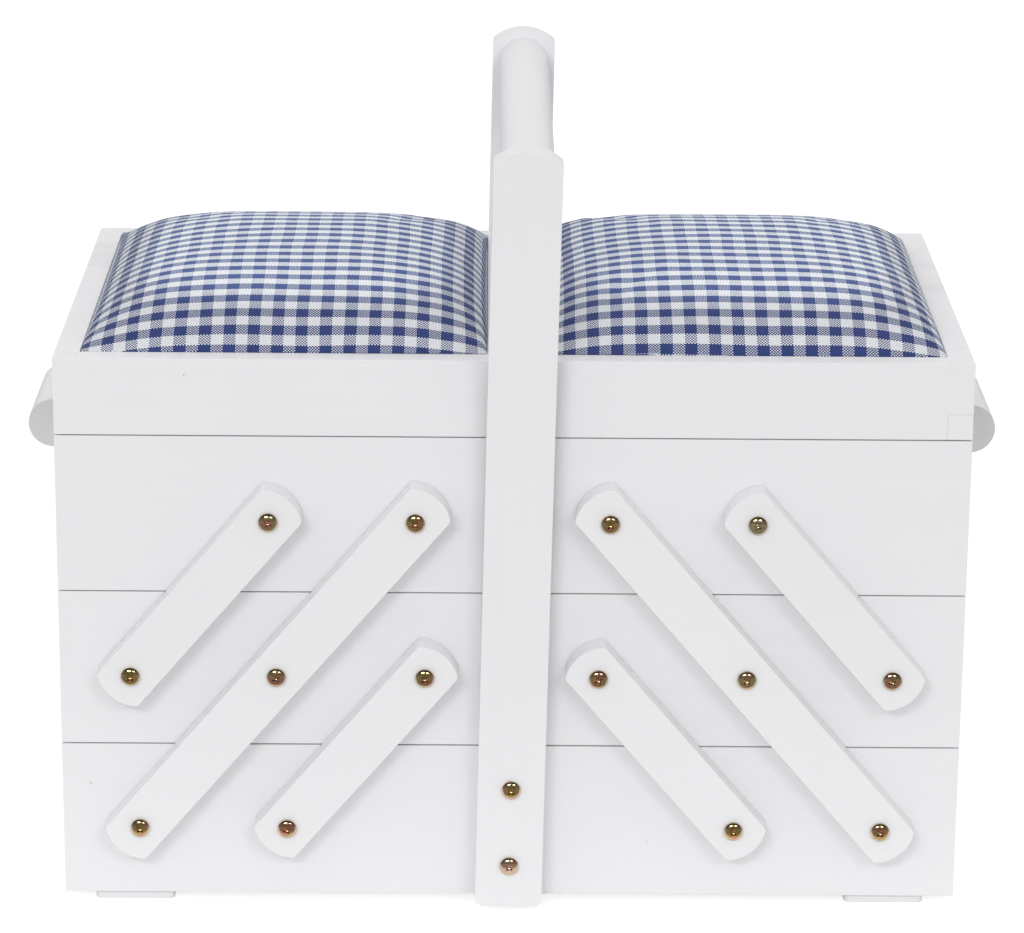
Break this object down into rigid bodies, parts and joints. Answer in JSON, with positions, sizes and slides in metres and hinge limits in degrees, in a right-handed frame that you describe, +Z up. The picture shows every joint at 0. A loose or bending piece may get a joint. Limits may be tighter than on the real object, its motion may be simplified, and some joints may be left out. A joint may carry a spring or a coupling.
{
  "type": "sewing carrier",
  "caption": "Wooden sewing carrier: a base, trays that swing out sideways on pivoted links, hinged lids with checked cushions, end grips and a fixed carrying handle.",
  "frame": {"origin": "on the floor, midway between the feet", "axes": "+X to the right along the box, -Y to the front, +Z up"},
  "size_m": [0.3974, 0.245, 0.3161],
  "materials": {
    "white_paint": "satin white paint over wood",
    "yellow_zinc": "yellow zinc plate",
    "hinge_brass": "satin brass plate",
    "gingham": "woven cotton check over foam"
  },
  "bodies": {
    "base": {"base_front_board": "white_paint", "base_back_board": "white_paint", "base_end_boards": "white_paint", "base_bottom_panel": "white_paint", "base_feet": "white_paint", "base_pivot_screws": "yellow_zinc", "handle_front_upright": "white_paint", "handle_back_upright": "white_paint", "handle_bar": "white_paint", "handle_screws": "yellow_zinc"},
    "left_long_link_front": {"left_long_link_front": "white_paint"},
    "left_lower_link_front": {"left_lower_link_front": "white_paint"},
    "left_upper_link_front": {"left_upper_link_front": "white_paint"},
    "left_long_link_back": {"left_long_link_back": "white_paint"},
    "left_lower_link_back": {"left_lower_link_back": "white_paint"},
    "left_upper_link_back": {"left_upper_link_back": "white_paint"},
    "left_middle_tray": {"left_middle_front_board": "white_paint", "left_middle_back_board": "white_paint", "left_middle_end_boards": "white_paint", "left_middle_bottom_panel": "white_paint", "left_middle_pivot_screws": "yellow_zinc"},
    "left_upper_tray": {"left_upper_front_board": "white_paint", "left_upper_back_board": "white_paint", "left_upper_end_boards": "white_paint", "left_upper_bottom_panel": "white_paint", "left_upper_pivot_screws": "yellow_zinc", "left_grip": "white_paint", "left_grip_screws": "yellow_zinc", "left_tray_hinges": "hinge_brass"},
    "left_lid": {"left_lid_front_board": "white_paint", "left_lid_back_board": "white_paint", "left_lid_end_boards": "white_paint", "left_lid_panel": "white_paint", "left_lid_cushion": "gingham", "left_lid_hinges": "hinge_brass"},
    "right_long_link_front": {"right_long_link_front": "white_paint"},
    "right_lower_link_front": {"right_lower_link_front": "white_paint"},
    "right_upper_link_front": {"right_upper_link_front": "white_paint"},
    "right_long_link_back": {"right_long_link_back": "white_paint"},
    "right_lower_link_back": {"right_lower_link_back": "white_paint"},
    "right_upper_link_back": {"right_upper_link_back": "white_paint"},
    "right_middle_tray": {"right_middle_front_board": "white_paint", "right_middle_back_board": "white_paint", "right_middle_end_boards": "white_paint", "right_middle_bottom_panel": "white_paint", "right_middle_pivot_screws": "yellow_zinc"},
    "right_upper_tray": {"right_upper_front_board": "white_paint", "right_upper_back_board": "white_paint", "right_upper_end_boards": "white_paint", "right_upper_bottom_panel": "white_paint", "right_upper_pivot_screws": "yellow_zinc", "right_grip": "white_paint", "right_grip_screws": "yellow_zinc", "right_tray_hinges": "hinge_brass"},
    "right_lid": {"right_lid_front_board": "white_paint", "right_lid_back_board": "white_paint", "right_lid_end_boards": "white_paint", "right_lid_panel": "white_paint", "right_lid_cushion": "gingham", "right_lid_hinges": "hinge_brass"}
  },
  "joints": [
    {"name": "left_swing", "type": "hinge", "parent": "base", "child": "left_long_link_front", "pos_m": [-0.1482, -0.1106, 0.0366], "axis": [0, -1, 0], "range_deg": [0, 80.91]},
    {"name": "left_long_link_back_turn", "type": "hinge", "parent": "base", "child": "left_long_link_back", "pos_m": [-0.1482, 0.1106, 0.0366], "axis": [0, -1, 0], "range_deg": [0, 80.91]},
    {"name": "left_lower_link_front_turn", "type": "hinge", "parent": "base", "child": "left_lower_link_front", "pos_m": [-0.0894, -0.1106, 0.0366], "axis": [0, -1, 0], "range_deg": [0, 80.91]},
    {"name": "left_lower_link_back_turn", "type": "hinge", "parent": "base", "child": "left_lower_link_back", "pos_m": [-0.0894, 0.1106, 0.0366], "axis": [0, -1, 0], "range_deg": [0, 80.91]},
    {"name": "left_middle_tray_level", "type": "hinge", "parent": "left_long_link_front", "child": "left_middle_tray", "pos_m": [-0.0932, -0.1106, 0.1011], "axis": [0, -1, 0], "range_deg": [-80.91, 0]},
    {"name": "left_upper_tray_level", "type": "hinge", "parent": "left_long_link_front", "child": "left_upper_tray", "pos_m": [-0.0382, -0.1106, 0.1656], "axis": [0, -1, 0], "range_deg": [-80.91, 0]},
    {"name": "left_upper_link_front_turn", "type": "hinge", "parent": "left_middle_tray", "child": "left_upper_link_front", "pos_m": [-0.1509, -0.1106, 0.1011], "axis": [0, -1, 0], "range_deg": [0, 80.91]},
    {"name": "left_upper_link_back_turn", "type": "hinge", "parent": "left_middle_tray", "child": "left_upper_link_back", "pos_m": [-0.1509, 0.1106, 0.1011], "axis": [0, -1, 0], "range_deg": [0, 80.91]},
    {"name": "left_lid_hinge", "type": "hinge", "parent": "left_upper_tray", "child": "left_lid", "pos_m": [-0.1822, 0, 0.19725], "axis": [0, -1, 0], "range_deg": [0, 105]},
    {"name": "right_swing", "type": "hinge", "parent": "base", "child": "right_long_link_front", "pos_m": [0.1482, -0.1106, 0.0366], "axis": [0, 1, 0], "range_deg": [0, 80.91]},
    {"name": "right_long_link_back_turn", "type": "hinge", "parent": "base", "child": "right_long_link_back", "pos_m": [0.1482, 0.1106, 0.0366], "axis": [0, 1, 0], "range_deg": [0, 80.91]},
    {"name": "right_lower_link_front_turn", "type": "hinge", "parent": "base", "child": "right_lower_link_front", "pos_m": [0.0894, -0.1106, 0.0366], "axis": [0, 1, 0], "range_deg": [0, 80.91]},
    {"name": "right_lower_link_back_turn", "type": "hinge", "parent": "base", "child": "right_lower_link_back", "pos_m": [0.0894, 0.1106, 0.0366], "axis": [0, 1, 0], "range_deg": [0, 80.91]},
    {"name": "right_middle_tray_level", "type": "hinge", "parent": "right_long_link_front", "child": "right_middle_tray", "pos_m": [0.0932, -0.1106, 0.1011], "axis": [0, 1, 0], "range_deg": [-80.91, 0]},
    {"name": "right_upper_tray_level", "type": "hinge", "parent": "right_long_link_front", "child": "right_upper_tray", "pos_m": [0.0382, -0.1106, 0.1656], "axis": [0, 1, 0], "range_deg": [-80.91, 0]},
    {"name": "right_upper_link_front_turn", "type": "hinge", "parent": "right_middle_tray", "child": "right_upper_link_front", "pos_m": [0.1509, -0.1106, 0.1011], "axis": [0, 1, 0], "range_deg": [0, 80.91]},
    {"name": "right_upper_link_back_turn", "type": "hinge", "parent": "right_middle_tray", "child": "right_upper_link_back", "pos_m": [0.1509, 0.1106, 0.1011], "axis": [0, 1, 0], "range_deg": [0, 80.91]},
    {"name": "right_lid_hinge", "type": "hinge", "parent": "right_upper_tray", "child": "right_lid", "pos_m": [0.1822, 0, 0.19725], "axis": [0, 1, 0], "range_deg": [0, 105]}
  ],
  "couplings": [
    {"joint": "left_long_link_back_turn", "follows": "left_swing", "ratio": 1},
    {"joint": "left_lower_link_front_turn", "follows": "left_swing", "ratio": 1},
    {"joint": "left_lower_link_back_turn", "follows": "left_swing", "ratio": 1},
    {"joint": "left_middle_tray_level", "follows": "left_swing", "ratio": -1},
    {"joint": "left_upper_tray_level", "follows": "left_swing", "ratio": -1},
    {"joint": "left_upper_link_front_turn", "follows": "left_swing", "ratio": 1},
    {"joint": "left_upper_link_back_turn", "follows": "left_swing", "ratio": 1},
    {"joint": "right_long_link_back_turn", "follows": "right_swing", "ratio": 1},
    {"joint": "right_lower_link_front_turn", "follows": "right_swing", "ratio": 1},
    {"joint": "right_lower_link_back_turn", "follows": "right_swing", "ratio": 1},
    {"joint": "right_middle_tray_level", "follows": "right_swing", "ratio": -1},
    {"joint": "right_upper_tray_level", "follows": "right_swing", "ratio": -1},
    {"joint": "right_upper_link_front_turn", "follows": "right_swing", "ratio": 1},
    {"joint": "right_upper_link_back_turn", "follows": "right_swing", "ratio": 1}
  ]
}
